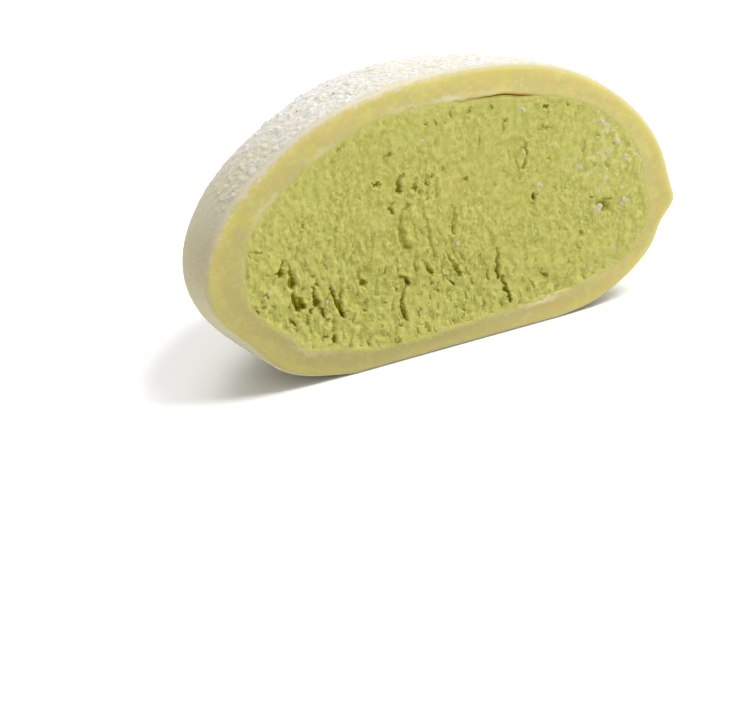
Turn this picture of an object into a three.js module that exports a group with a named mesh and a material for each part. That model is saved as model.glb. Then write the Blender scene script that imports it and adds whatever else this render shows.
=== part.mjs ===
// Half of a round mochi rice cake, cut through its middle: a soft skin of rice dough round a firm,
// crumbly green-tea filling. It stands on its own flat base.
// Millimetres, +Z up. The cut face looks along -Y and the dome bulges behind it, along +Y.
import * as THREE from 'three';

// ---- Driving dimensions ----

// Both pieces bulge away from one inner point in every direction, as two half ellipses that meet at
// the waist: one above it, one below. A corner of 2 is a true ellipse, and more is fuller in the corners.
// Swells are where a hand-shaped form stands out from that or falls short of it. about: angle round
// the cut, from +X upwards; behind: angle away from the cut, 90 at the back; swell: millimetres
// outwards; spread: reach in degrees.
const BODY = {
  aside: 0, // the waist's middle, from the middle of the cut
  height: 11.4, // the waist's height above the base
  halfWidth: 25,
  depth: 25,
  rise: 16.6, // from the waist up to the crown
  drop: 13.7, // how far the underside would bulge if no base pressed it flat
  cornerAbove: 2,
  cornerBelow: 2,
  turned: 0, // degrees, leftwards in the plane of the cut
  swells: [
    { about: 45, behind: 0, swell: 0.55, spread: 20 }, // full right shoulder
    { about: -20, behind: 0, swell: 0.5, spread: 11 }, // right flank
    { about: -42, behind: 0, swell: 0.15, spread: 14 },
    { about: -5, behind: 0, swell: 0.5, spread: 4 }, // pinch left by the knife at the right end
    { about: 145, behind: 0, swell: -0.25, spread: 14 }, // flatter left shoulder
    { about: -166, behind: 0, swell: -1.35, spread: 10 }, // left flank, pulled in above the base
    { about: -141, behind: 0, swell: -0.6, spread: 8 },
    { about: 108, behind: 42, swell: 0.15, spread: 24 }, // back of the crown
    { about: 150, behind: 48, swell: -1.1, spread: 20 }, // flat left shoulder behind the cut
    { about: 180, behind: 22, swell: 0.4, spread: 13 }, // left end behind the cut
    { about: -162, behind: 45, swell: 0.7, spread: 18 }, // heavy lower left behind the cut
    { about: 35, behind: 62, swell: 0.35, spread: 22 },
    { about: -25, behind: 58, swell: -0.3, spread: 20 },
    { about: 80, behind: 86, swell: -0.25, spread: 18 },
  ],
};
const FILLING = {
  aside: 0.4,
  height: 12.4,
  halfWidth: 21.7,
  depth: 22,
  rise: 12.45,
  drop: 10.5,
  cornerAbove: 2.06,
  cornerBelow: 3.2,
  turned: 2.3,
  swells: [
    { about: -156, behind: 0, swell: -2.6, spread: 18 }, // thick dough in the lower left corner
    { about: -173, behind: 0, swell: 0.6, spread: 7 }, // where the filling bulges into it
    { about: -151, behind: 0, swell: 1.1, spread: 6 },
    { about: -37, behind: 0, swell: 0.4, spread: 7 }, // thin dough at the lower right
    { about: -20, behind: 0, swell: 0.95, spread: 11 },
    { about: -11, behind: 0, swell: 0.3, spread: 5 },
    { about: 115, behind: 0, swell: 0.7, spread: 26 }, // thin dough left of the crown
  ],
};
const BASE_TURN = 2.2; // softness of the turn from the flank into the flat base
const BASE_PRESS = 0.2; // the flat base is pressed this far into that turn
const CUT_EDGE = 0.4; // rounding of the dough's two edges at the cut
const GAP = 0.3; // between the dough and the filling
const FACE_RECESS = 0.2; // the cut filling lies this far behind the cut edge of the dough

const DOME_RINGS = 20; // rings of facets from the back of the dome to the cut
const LINING_RINGS = 14; // the same for the hidden wall between dough and filling
const FACE_RINGS = 33; // rings of facets across the cut filling
const RING_STEP = 6; // each ring has this many more points than the one inside it

// Deep tears that the knife left in the filling, in the plane of the cut.
const TEARS = [
  // The torn corner at the lower left.
  { x: -17.2, z: 12.2, length: 1.6, width: 1.1, depth: 0.9, lean: -28 },
  { x: -16.0, z: 11.1, length: 1.7, width: 1.1, depth: 0.9, lean: 2 },
  { x: -15.8, z: 8.9, length: 2.3, width: 1.2, depth: 1.3, lean: 12 },
  { x: -16.5, z: 7.1, length: 1.4, width: 1.0, depth: 0.8, lean: 24 },
  { x: -13.9, z: 8.4, length: 2.1, width: 1.1, depth: 1.1, lean: 8 },
  { x: -11.9, z: 8.8, length: 2.0, width: 1.1, depth: 0.8, lean: 10 },
  { x: -11.4, z: 7.1, length: 2.2, width: 1.1, depth: 1.0, lean: 18 },
  { x: -20.3, z: 9.5, length: 1.5, width: 1.0, depth: 0.7, lean: 22 },
  { x: -12.2, z: 4.2, length: 1.3, width: 1.0, depth: 0.8, lean: -25 },
  // Along the bottom.
  { x: -9.0, z: 9.2, length: 1.5, width: 1.1, depth: 0.8, lean: 30 },
  { x: -4.2, z: 7.9, length: 1.6, width: 1.1, depth: 0.9, lean: 0 },
  { x: -5.0, z: 5.6, length: 2.2, width: 1.0, depth: 0.8, lean: 2 },
  { x: -1.8, z: 8.8, length: 1.6, width: 1.1, depth: 0.8, lean: 24 },
  { x: 0.5, z: 9.2, length: 1.6, width: 1.1, depth: 0.7, lean: 22 },
  { x: 5.5, z: 6.6, length: 2.2, width: 1.0, depth: 0.8, lean: -2 },
  { x: 6.2, z: 4.6, length: 2.3, width: 1.0, depth: 0.9, lean: 12 },
  // Higher up: a long curved ledge, and single holes.
  { x: -4.3, z: 13.4, length: 3.2, width: 1.0, depth: 0.5, lean: -4 },
  { x: -3.9, z: 18.3, length: 1.8, width: 1.1, depth: 0.7, lean: -12 },
  { x: -6.3, z: 18.8, length: 1.2, width: 1.1, depth: 0.6, lean: -60 },
  { x: 12.5, z: 22.1, length: 1.2, width: 1.1, depth: 0.6, lean: -25 },
  { x: 10.2, z: 13.5, length: 1.3, width: 1.1, depth: 0.8, lean: -35 },
  { x: 17.4, z: 10.6, length: 1.6, width: 1.5, depth: 0.9, lean: 60 },
];
const PITS = 110; // small pits between the tears
const PIT_LENGTH = [1.1, 2.4]; // shortest and longest
const PIT_WIDTH = 1.0;
const PIT_DEPTH = [0.1, 0.55]; // at the smooth upper right and at the torn lower left
const DRAG_DEPTH = 0.1; // shallow ripples that the blade dragged down the filling
const DRAG_SPACING = 2.6;
const FACE_EDGE = 1.2; // the relief fades out over this width at the edge of the filling

// ---- The two forms ----
const radians = THREE.MathUtils.degToRad;

/** Unit vector at an angle round the cut and an angle behind it, both in radians. */
function direction(about, behind) {
  return new THREE.Vector3(
    Math.cos(about) * Math.cos(behind),
    Math.sin(behind),
    Math.sin(about) * Math.cos(behind),
  );
}

/** 1 at the middle of a soft bump, falling to nothing a few spreads away. */
function bump(distance, spread) {
  return Math.exp(-((distance / spread) ** 2));
}

/** The smaller of two lengths, with a soft turn where they cross and exact away from it. */
function softMin(a, b, turn) {
  const blend = Math.max(turn - Math.abs(a - b), 0) / turn;
  return Math.min(a, b) - (blend * blend * turn) / 4;
}

/** The point inside a form from which its reach is measured. */
function middleOf(form) {
  return new THREE.Vector3(form.aside, 0, form.height);
}

/** Distance from a form's middle to its surface along a unit vector. */
function reach(form, towards) {
  const across = new THREE.Vector3(0, -1, 0);
  const { x, y, z } = towards.clone().applyAxisAngle(across, -radians(form.turned));
  const corner = z > 0 ? form.cornerAbove : form.cornerBelow;
  const level = Math.hypot(x / form.halfWidth, y / form.depth);
  const upright = Math.abs(z) / (z > 0 ? form.rise : form.drop);
  let distance = (level ** corner + upright ** corner) ** (-1 / corner);
  for (const { about, behind, swell, spread } of form.swells) {
    const middle = direction(radians(about), radians(behind));
    distance += swell * bump(towards.angleTo(middle), radians(spread));
  }
  if (towards.z >= 0) return distance;
  const turned = softMin(distance, (form.height + BASE_PRESS) / -towards.z, BASE_TURN);
  return Math.min(turned, form.height / -towards.z);
}

// ---- Relief of the cut filling ----

/** How torn the filling is: 1 at the lower left, 0 at the upper right. */
function tornness(x, z) {
  const towardsCorner = -x / (2 * BODY.halfWidth) - (z - BODY.height) / BODY.rise;
  return THREE.MathUtils.smoothstep(towardsCorner, -0.7, 0.6);
}

/** Evenly scattered pits by a low-discrepancy sequence, deeper where the filling is torn. */
function scatteredPits() {
  const fraction = (value) => value - Math.floor(value);
  const pits = [];
  for (let i = 1; i <= PITS; i += 1) {
    const x = 2 * BODY.halfWidth * (fraction(0.5 + i * 0.7548776662) - 0.5);
    const z = (BODY.height + BODY.rise) * fraction(0.5 + i * 0.5698402910);
    const size = fraction(i * 0.6180339887);
    const length = THREE.MathUtils.lerp(PIT_LENGTH[0], PIT_LENGTH[1], size);
    const depth = THREE.MathUtils.lerp(PIT_DEPTH[0], PIT_DEPTH[1], tornness(x, z));
    const lean = 30 * (fraction(i * 0.4142135624) - 0.4);
    pits.push({ x, z, length, width: PIT_WIDTH, depth, lean });
  }
  return pits;
}

const hollows = [...TEARS, ...scatteredPits()].map(({ lean, ...hollow }) => ({
  ...hollow,
  cos: Math.cos(radians(lean)),
  sin: Math.sin(radians(lean)),
}));

/** How far the cut filling lies behind the plane of the cut, at a place this far from its edge. */
function faceDepth(x, z, fromEdge) {
  let hollow = 0;
  for (const { x: atX, z: atZ, length, width, depth, cos, sin } of hollows) {
    const along = ((z - atZ) * cos - (x - atX) * sin) / (length / 2);
    const across = ((z - atZ) * sin + (x - atX) * cos) / (width / 2);
    hollow = Math.max(hollow, depth * bump(Math.hypot(along, across), 1));
  }
  const drag = Math.sin((2 * Math.PI * x) / DRAG_SPACING + Math.sin(z / 3));
  const rolling = Math.sin(x / 3.1 + z / 4.7) * Math.sin(z / 2.9 - x / 7.3);
  const relief = hollow + DRAG_DEPTH * (drag * tornness(x, z) + rolling);
  return FACE_RECESS + relief * THREE.MathUtils.smoothstep(fromEdge, 0, FACE_EDGE);
}

// ---- Rings of points, and the closed body that they make ----

/** The points of one ring: a point of the form for each angle round it. */
function ringOf(count, pointAt) {
  return Array.from({ length: count }, (_, i) => pointAt((2 * Math.PI * i) / count));
}

/** Rings over the back of a form, from the pole at +Y to just short of the cut. */
function domeRings(form, count, inset) {
  const rings = [];
  for (let ring = 0; ring < count; ring += 1) {
    const behind = (Math.PI / 2) * (1 - ring / count);
    const pointAt = (about) => {
      const towards = direction(about, behind);
      const distance = reach(form, towards) - inset;
      return towards.multiplyScalar(distance).add(middleOf(form));
    };
    rings.push(ringOf(Math.max(1, ring * RING_STEP), pointAt));
  }
  return rings;
}

/** A ring along the cut, some millimetres inside a form's outline and at a depth behind the cut. */
function cutRing(form, count, inset, depth) {
  return ringOf(count, (about) => {
    const towards = direction(about, 0);
    const point = towards.clone().multiplyScalar(reach(form, towards) - inset).add(middleOf(form));
    return point.setY(depth);
  });
}

/** A rounded edge along the cut as three rings, from the side of the body to its cut face. */
function roundedEdge(form, count, inset, rounding) {
  return [0, 45, 90].map((turn) => {
    const inwards = rounding * (1 - Math.cos(radians(turn)));
    const depth = Math.abs(rounding) * (1 - Math.sin(radians(turn)));
    return cutRing(form, count, inset + inwards, depth);
  });
}

/** Rings across the cut filling, from its edge to its middle, with the torn relief. */
function faceRings() {
  const middle = middleOf(FILLING);
  const edge = cutRing(FILLING, FACE_RINGS * RING_STEP, GAP / 2, FACE_RECESS);
  const rings = [edge];
  for (let ring = FACE_RINGS - 1; ring >= 0; ring -= 1) {
    const share = ring / FACE_RINGS;
    const pointAt = (about) => {
      const towards = direction(about, 0);
      const toEdge = reach(FILLING, towards) - GAP / 2;
      const point = towards.multiplyScalar(share * toEdge).add(middle);
      return point.setY(faceDepth(point.x, point.z, (1 - share) * toEdge));
    };
    rings.push(ringOf(Math.max(1, ring * RING_STEP), pointAt));
  }
  return rings;
}

/** Closes a run of rings, from one pole to the other, into one solid with its faces outwards. */
function solidOfRings(rings) {
  const faces = [];
  let start = 0;
  for (let ring = 0; ring + 1 < rings.length; ring += 1) {
    const inner = rings[ring].length;
    const outer = rings[ring + 1].length;
    const next = start + inner;
    let i = 0;
    let j = 0;
    while (i < inner || j < outer) {
      const a = start + (i % inner);
      const b = next + (j % outer);
      const stepOuter = i === inner || (j < outer && (j + 1) / outer <= (i + 1) / inner);
      if (stepOuter) j += 1;
      else i += 1;
      faces.push([b, a, stepOuter ? next + (j % outer) : start + (i % inner)]);
    }
    start = next;
  }
  const whole = faces.filter(([a, b, c]) => a !== b && b !== c && c !== a);
  const geometry = new THREE.BufferGeometry().setFromPoints(rings.flat());
  geometry.setIndex(whole.flat());
  geometry.computeVertexNormals();
  return geometry;
}

// ---- The two pieces ----

/** The rice dough: dome, cut rim and the inner wall that holds the filling. */
function mochiSkin() {
  const rim = DOME_RINGS * RING_STEP;
  const rings = [
    ...domeRings(BODY, DOME_RINGS, 0),
    ...roundedEdge(BODY, rim, 0, CUT_EDGE),
    ...roundedEdge(FILLING, rim, -GAP / 2, -CUT_EDGE).reverse(),
    ...domeRings(FILLING, LINING_RINGS, -GAP / 2).reverse(),
  ];
  const material = new THREE.MeshStandardMaterial({ color: 0xcdbb72, roughness: 0.55, metalness: 0 });
  const mesh = new THREE.Mesh(solidOfRings(rings), material);
  mesh.name = 'mochi_skin';
  return mesh;
}

/** The filling: a smooth back that follows the dough, and a torn face at the cut. */
function matchaFilling() {
  const rings = [...domeRings(FILLING, LINING_RINGS, GAP / 2), ...faceRings()];
  const material = new THREE.MeshStandardMaterial({ color: 0xb9b35c, roughness: 0.85, metalness: 0 });
  const mesh = new THREE.Mesh(solidOfRings(rings), material);
  mesh.name = 'matcha_filling';
  return mesh;
}

const mochi = new THREE.Group();
mochi.add(mochiSkin(), matchaFilling());

// The origin is the middle of the bounding box at the height of the base.
const box = new THREE.Box3().setFromObject(mochi);
const middle = box.getCenter(new THREE.Vector3());
mochi.position.set(-middle.x, -middle.y, -box.min.z);

export default mochi;
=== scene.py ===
# %% [markdown]
# # Half of a filled mochi, dressed cell by cell
# A mochi is a ball of pounded rice dough round a soft centre. This one is cut in half and stands on its
# flat base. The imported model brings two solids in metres: the dough and the filling. They have the right
# form but broad facets, so each is rebuilt here as a fine mesh from the same driving sizes, and gets the
# things that make it look like food: white starch, torn crumb, soft light in the dough.

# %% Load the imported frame
import math

import bmesh
import bpy
import numpy as np
from mathutils import Matrix, Vector, noise


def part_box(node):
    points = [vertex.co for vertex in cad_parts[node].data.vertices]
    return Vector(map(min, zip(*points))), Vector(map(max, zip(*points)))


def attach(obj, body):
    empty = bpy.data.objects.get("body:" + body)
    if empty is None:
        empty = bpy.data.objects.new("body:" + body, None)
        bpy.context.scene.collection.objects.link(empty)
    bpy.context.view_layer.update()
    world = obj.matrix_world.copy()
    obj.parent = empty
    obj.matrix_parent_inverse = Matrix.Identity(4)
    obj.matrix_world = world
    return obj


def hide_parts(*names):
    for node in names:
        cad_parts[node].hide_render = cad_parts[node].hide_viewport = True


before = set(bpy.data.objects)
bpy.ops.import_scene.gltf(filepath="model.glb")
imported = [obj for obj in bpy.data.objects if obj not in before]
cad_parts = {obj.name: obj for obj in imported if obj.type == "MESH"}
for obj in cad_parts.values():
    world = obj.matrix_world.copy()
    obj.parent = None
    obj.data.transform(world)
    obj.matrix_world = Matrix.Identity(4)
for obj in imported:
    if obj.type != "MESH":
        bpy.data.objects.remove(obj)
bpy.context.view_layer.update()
skin_low, skin_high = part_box("mochi_skin")
print("nodes in the frame:", sorted(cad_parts))

# %% [markdown]
# ## Sizes
# The forms are worked out in millimetres from the middle of the cut at the height of the base, because a
# cook would measure a sweet in millimetres. Everything is turned into metres only when a mesh is made.
# Each form bulges away from one inner point as two half ellipses that meet at its waist. A corner of 2 is
# a true ellipse, and more is fuller in the corners. Swells are where the hand-shaped form stands out or
# falls short: (angle round the cut, angle behind it, millimetres outwards, reach), angles in degrees.

# %% Driving sizes, in millimetres
MM = 0.001  # one millimetre in Blender's metres

BODY = {
    "aside": 0.0,
    "height": 11.4,
    "half_width": 25.0,
    "depth": 25.0,
    "rise": 16.6,
    "drop": 13.7,
    "corner_above": 2.0,
    "corner_below": 2.0,
    "turned": 0.0,
    "swells": [
        (45, 0, 0.55, 20), (-20, 0, 0.5, 11), (-42, 0, 0.15, 14), (-5, 0, 0.5, 4), (145, 0, -0.25, 14),
        (-166, 0, -1.35, 10), (-141, 0, -0.6, 8), (108, 42, 0.15, 24), (150, 48, -1.1, 20),
        (180, 22, 0.4, 13), (-162, 45, 0.7, 18), (35, 62, 0.35, 22), (-25, 58, -0.3, 20),
        (80, 86, -0.25, 18),
        # A crisp fold that the knife left at the right end, too fine for the solid.
        (-5.5, 0, 0.2, 2.0), (-11, 0, -0.25, 3.0),
    ],
}
FILLING = {
    "aside": 0.4,
    "height": 12.4,
    "half_width": 21.7,
    "depth": 22.0,
    "rise": 12.45,
    "drop": 10.5,
    "corner_above": 2.06,
    "corner_below": 3.2,
    "turned": 2.3,
    "swells": [
        (-156, 0, -2.6, 18), (-173, 0, 0.6, 7), (-151, 0, 1.1, 6), (-37, 0, 0.4, 7), (-20, 0, 0.95, 11),
        (-11, 0, 0.3, 5), (115, 0, 0.7, 26),
    ],
}
BASE_TURN = 2.2  # softness of the turn into the flat base
BASE_PRESS = 0.2  # the flat base is pressed this far into that turn

# %% [markdown]
# ## A form as a distance from its middle
# Because each form bulges away from one inner point, a single number describes it: the distance to its
# surface along a direction. The flat base cuts in through a soft minimum.


# %% Distance to the surface
def direction(about, behind):
    """Unit vectors at angles round the cut and behind it, in radians."""
    about, behind = np.broadcast_arrays(about, behind)
    return np.stack(
        [np.cos(about) * np.cos(behind), np.sin(behind), np.sin(about) * np.cos(behind)], -1
    )


def bump(distance, spread):
    """1 at the middle of a soft bump, falling to nothing a few spreads away."""
    return np.exp(-((distance / spread) ** 2))


def smoothstep(value, low, high):
    """0 below low, 1 above high, and a soft S between them."""
    share = np.clip((value - low) / (high - low), 0, 1)
    return share * share * (3 - 2 * share)


def reach(form, way):
    """Distance from a form's middle to its surface along unit vectors."""
    turn = math.radians(form["turned"])
    x = way[..., 0] * math.cos(turn) + way[..., 2] * math.sin(turn)
    z = way[..., 2] * math.cos(turn) - way[..., 0] * math.sin(turn)
    above = z > 0
    corner = np.where(above, form["corner_above"], form["corner_below"])
    level = np.hypot(x / form["half_width"], way[..., 1] / form["depth"])
    upright = abs(z) / np.where(above, form["rise"], form["drop"])
    distance = (level**corner + upright**corner) ** (-1 / corner)
    for about, behind, swell, spread in form["swells"]:
        middle = direction(math.radians(about), math.radians(behind))
        angle = np.arccos(np.clip(way @ middle, -1, 1))
        distance = distance + swell * bump(angle, math.radians(spread))
    downwards = np.maximum(-way[..., 2], 1e-6)
    base = (form["height"] + BASE_PRESS) / downwards
    blend = np.maximum(BASE_TURN - abs(distance - base), 0) / BASE_TURN
    turned = np.minimum(distance, base) - blend * blend * BASE_TURN / 4
    return np.minimum(turned, form["height"] / downwards)


rim_angles = np.linspace(-math.pi, math.pi, 721)  # half a degree apart
rim_x = reach(BODY, direction(rim_angles, 0.0)) * np.cos(rim_angles)
box_middle = (skin_low.x + skin_high.x) / 2 / MM
FORM_PLACE = np.array([box_middle - (rim_x.min() + rim_x.max()) / 2, skin_low.y / MM, 0.0])
print("middle of the cut, mm:", FORM_PLACE.round(2))

# %% [markdown]
# ## Meshes from rings
# A disc or a dome is made of rings round its pole. Each ring has six points more than the one inside it,
# which keeps the triangles nearly equal from the pole to the rim, where a plain grid of meridians would
# crowd them at the pole. Two neighbouring rings are laced together by walking round both at once.


# %% Rings and lacing
RING_STEP = 6


def ring_angles(count):
    """Angles of the points of one ring."""
    return 2 * math.pi * np.arange(count) / count


def middle_of(form):
    """The point from which a form's reach is measured."""
    return np.array([form["aside"], 0.0, form["height"]])


def dome_rings(form, count, outwards=0.0, short=0.0):
    """Rings over the back of a form, from the pole at +Y to one step short of this far behind the cut."""
    rings = []
    for ring in range(count):
        about = ring_angles(max(1, ring * RING_STEP))
        last = np.arcsin(short / reach(form, direction(about, 0.0)))
        way = direction(about, math.pi / 2 - (math.pi / 2 - last) * ring / count)
        rings.append(middle_of(form) + way * (reach(form, way) + outwards)[..., None])
    return rings


def cut_ring(form, angles, outwards, depth):
    """A ring along a form's outline at the cut, this far outside it and behind the plane of the cut."""
    way = direction(angles, 0.0)
    ring = middle_of(form) + way * (reach(form, way) + outwards)[..., None]
    ring[:, 1] = depth
    return ring


def lace(inner, outer, first, second):
    """Triangles between two rings of these counts, whose first points have these numbers."""
    faces = []
    i = j = 0
    while i < inner or j < outer:
        a = first + i % inner
        b = second + j % outer
        if i == inner or (j < outer and (j + 1) * inner <= (i + 1) * outer):
            j += 1
            faces.append((b, a, second + j % outer))
        else:
            i += 1
            faces.append((b, a, first + i % inner))
    return [face for face in faces if len(set(face)) == 3]


def new_object(name, data):
    """Puts a new object into the scene."""
    item = bpy.data.objects.new(name, data)
    bpy.context.scene.collection.objects.link(item)
    return item


def mesh_of_rings(name, rings, **attributes):
    """A closed mesh object from rings in millimetres, with one number a point per attribute."""
    faces = []
    start = 0
    for ring, following in zip(rings, rings[1:]):
        faces += lace(len(ring), len(following), start, start + len(ring))
        start += len(ring)
    points = (np.concatenate(rings) + FORM_PLACE) * MM
    mesh = bpy.data.meshes.new(name)
    mesh.from_pydata(points, [], faces)
    for title, values in attributes.items():
        layer = mesh.attributes.new(title, "FLOAT", "POINT")
        layer.data.foreach_set("value", np.concatenate(values).astype(np.float32))
    mesh.shade_smooth()
    print(name, "has", len(mesh.polygons), "triangles")
    return new_object(name, mesh)


# %% [markdown]
# ## A short way to write node trees
# Materials and Geometry Nodes are both graphs of nodes. This helper adds one node at a time and feeds its
# sockets with either a number or another node's output, so that each tree below reads as a recipe.


# %% Node helper
class Recipe:
    """Writes a node tree one node at a time."""

    def __init__(self, tree):
        self.tree = tree

    def add(self, kind, *inputs, **settings):
        """A node of this kind. Its inputs are fed in order, and None leaves one as it is."""
        node = self.tree.nodes.new(kind)
        for setting, value in settings.items():
            setattr(node, setting, value)
        for socket, value in zip(node.inputs, inputs):
            self.feed(socket, value)
        return node

    def feed(self, socket, value):
        """Joins a socket to an output, or sets its number."""
        if isinstance(value, bpy.types.NodeSocket):
            self.tree.links.new(value, socket)
        elif value is not None:
            socket.default_value = value

    def wire(self, node, **inputs):
        """Feeds a node's inputs by their names, and gives its outputs."""
        for title, value in inputs.items():
            self.feed(node.inputs[title], value)
        return node.outputs

    def math(self, operation, *values):
        """One arithmetic step, such as MULTIPLY."""
        return self.add("ShaderNodeMath", *values, operation=operation).outputs[0]

    def total(self, *values):
        """The sum of several numbers."""
        result = values[0]
        for value in values[1:]:
            result = self.math("ADD", result, value)
        return result

    def times(self, *values):
        """The product of several numbers."""
        result = values[0]
        for value in values[1:]:
            result = self.math("MULTIPLY", result, value)
        return result

    def rise(self, value, low, high, start=0.0, end=1.0):
        """A soft step from start to end as the value goes from low to high."""
        node = self.add("ShaderNodeMapRange", value, low, high, start, end)
        node.interpolation_type = "SMOOTHSTEP"
        return node.outputs[0]

    def swing(self, value, width):
        """A number between 0 and 1 turned into one that swings this wide about 0."""
        return self.math("MULTIPLY_ADD", value, width, -width / 2)

    def per(self, size):
        """How many of this size go into one unit."""
        return self.math("DIVIDE", 1.0, size)

    def noise(self, place, per_unit, detail=2.0, roughness=0.5):
        """Cloudy noise between 0 and 1."""
        node = self.add("ShaderNodeTexNoise", place, None, per_unit, detail, roughness)
        return node.outputs[0]

    def stretch(self, place, scale):
        """A place multiplied axis by axis."""
        node = self.add("ShaderNodeVectorMath", place, scale, operation="MULTIPLY")
        return node.outputs[0]

    def scaled(self, vector, factor):
        """A vector or a colour multiplied by a number."""
        return self.wire(self.add("ShaderNodeVectorMath", vector, operation="SCALE"), Scale=factor)[0]

    def drift(self, place, per_unit, distance):
        """A move this way and that by noise, no farther than this on any axis."""
        drift = self.add("ShaderNodeTexNoise", place, None, per_unit, 1.0).outputs["Color"]
        drift = self.add("ShaderNodeVectorMath", drift, (0.5, 0.5, 0.5), operation="SUBTRACT").outputs[0]
        return self.stretch(drift, (2 * distance,) * 3)

    def stray(self, place, per_unit, distance):
        """A place moved a little by noise, so that a pattern loses its straightness."""
        drift = self.drift(place, per_unit, distance)
        return self.add("ShaderNodeVectorMath", place, drift, operation="ADD").outputs[0]

    def random_vector(self, low, high, seed):
        """A random vector for each point."""
        node = self.add("FunctionNodeRandomValue", low, high, data_type="FLOAT_VECTOR")
        return self.wire(node, Seed=seed)[0]

    def mix(self, share, first, second):
        """A colour between two colours."""
        node = self.add("ShaderNodeMix", data_type="RGBA")
        self.feed(node.inputs[0], share)
        self.feed(node.inputs[6], first)
        self.feed(node.inputs[7], second)
        return node.outputs[2]

    def coats(self, colour, *coats):
        """A colour under coats of others, each given as (share, colour)."""
        for share, coat in coats:
            colour = self.mix(share, colour, coat)
        return colour


def srgb(red, green, blue):
    """A colour given as it looks on a screen, 0 to 255, in the renderer's linear numbers."""
    shares = np.array([red, green, blue]) / 255
    linear = np.where(shares <= 0.04045, shares / 12.92, ((shares + 0.055) / 1.055) ** 2.4)
    return (*linear.tolist(), 1.0)


def new_material(name):
    """An empty material, with its Principled shader and its Object coordinates in millimetres."""
    material = bpy.data.materials.new(name)
    material.use_nodes = True
    recipe = Recipe(material.node_tree)
    shader = material.node_tree.nodes["Principled BSDF"]
    place = recipe.add("ShaderNodeTexCoord").outputs["Object"]
    millimetres = recipe.add("ShaderNodeMapping", place)
    millimetres.inputs["Scale"].default_value = (1 / MM,) * 3
    return material, recipe, shader, millimetres.outputs[0]


def attributes(recipe, *names):
    """Numbers that the mesh carries at each point."""
    return [recipe.add("ShaderNodeAttribute", attribute_name=name).outputs["Fac"] for name in names]


def paint(recipe, shader, colour, roughness, shine):
    """Gives a shader its colour, its roughness and how much it mirrors."""
    recipe.wire(shader, **{"Base Color": colour, "Roughness": roughness, "Specular IOR Level": shine})


def soft_inside(recipe, shader, weight, radius, scale):
    """Lets light scatter under the surface, as it does in food."""
    inputs = {"Subsurface Weight": weight, "Subsurface Radius": radius, "Subsurface Scale": scale}
    recipe.wire(shader, **inputs)


def fine_bump(recipe, shader, height, strength, distance):
    """Relief that is too fine for the mesh."""
    bumped = recipe.wire(recipe.add("ShaderNodeBump"), Strength=strength, Distance=distance, Height=height)
    recipe.wire(shader, Normal=bumped[0])


# %% [markdown]
# ## Geometry Nodes trees
# The starch and the crumb repeat by the thousand, and the finest relief follows a rule, so Geometry Nodes
# make them. A tree's inputs are named here and set by their identifiers. Its result is then copied
# into a plain mesh, because an exported model keeps neither modifiers nor instances.


# %% Tree and baking helpers
def new_tree(name, **inputs):
    """A Geometry Nodes tree with a geometry input, number inputs and a geometry output."""
    tree = bpy.data.node_groups.new(name, "GeometryNodeTree")
    face = tree.interface
    face.new_socket("Geometry", in_out="INPUT", socket_type="NodeSocketGeometry")
    for title, value in inputs.items():
        kind = "NodeSocketInt" if isinstance(value, int) else "NodeSocketFloat"
        face.new_socket(title, in_out="INPUT", socket_type=kind).default_value = value
    face.new_socket("Geometry", in_out="OUTPUT", socket_type="NodeSocketGeometry")
    recipe = Recipe(tree)
    return recipe, recipe.add("NodeGroupInput").outputs


def named(recipe, name):
    """A number that the mesh carries at each point, inside Geometry Nodes."""
    return recipe.add("GeometryNodeInputNamedAttribute", name, data_type="FLOAT").outputs[0]


def keep(recipe, geometry, name, value):
    """Stores a number at each point for the material."""
    node = recipe.add("GeometryNodeStoreNamedAttribute", geometry, None, name, value, data_type="FLOAT")
    return node.outputs[0]


def move(recipe, geometry, offset):
    """Moves each point by its own offset."""
    return recipe.add("GeometryNodeSetPosition", geometry, None, None, offset).outputs[0]


def finish_tree(recipe, geometry, material):
    """Ends a tree: instances are realized, and the material is set."""
    real = recipe.add("GeometryNodeRealizeInstances", geometry).outputs[0]
    dressed = recipe.wire(recipe.add("GeometryNodeSetMaterial", real), Material=material)
    recipe.add("NodeGroupOutput", dressed[0])


def grow(name, source, recipe, **inputs):
    """Runs a tree on a copy of a mesh object and returns the plain result as a new object."""
    holder = new_object(name, source.data)
    modifier = holder.modifiers.new("grow", "NODES")
    modifier.node_group = recipe.tree
    for item in recipe.tree.interface.items_tree:
        if item.in_out == "INPUT" and item.name in inputs:
            modifier[item.identifier] = inputs[item.name]
    bpy.context.view_layer.update()
    graph = bpy.context.evaluated_depsgraph_get()
    result = bpy.data.meshes.new_from_object(
        holder.evaluated_get(graph), preserve_all_data_layers=True, depsgraph=graph
    )
    holder.modifiers.clear()
    holder.data = result
    result.name = name
    print(name, "has", sum(len(face.vertices) - 2 for face in result.polygons), "triangles")
    return holder


def hand_over(item, replaced=None):
    """Hangs a finished piece under the root body, and hides the solid that it stands in for, if any."""
    if replaced:
        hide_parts(replaced)
    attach(item, "root")
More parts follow.
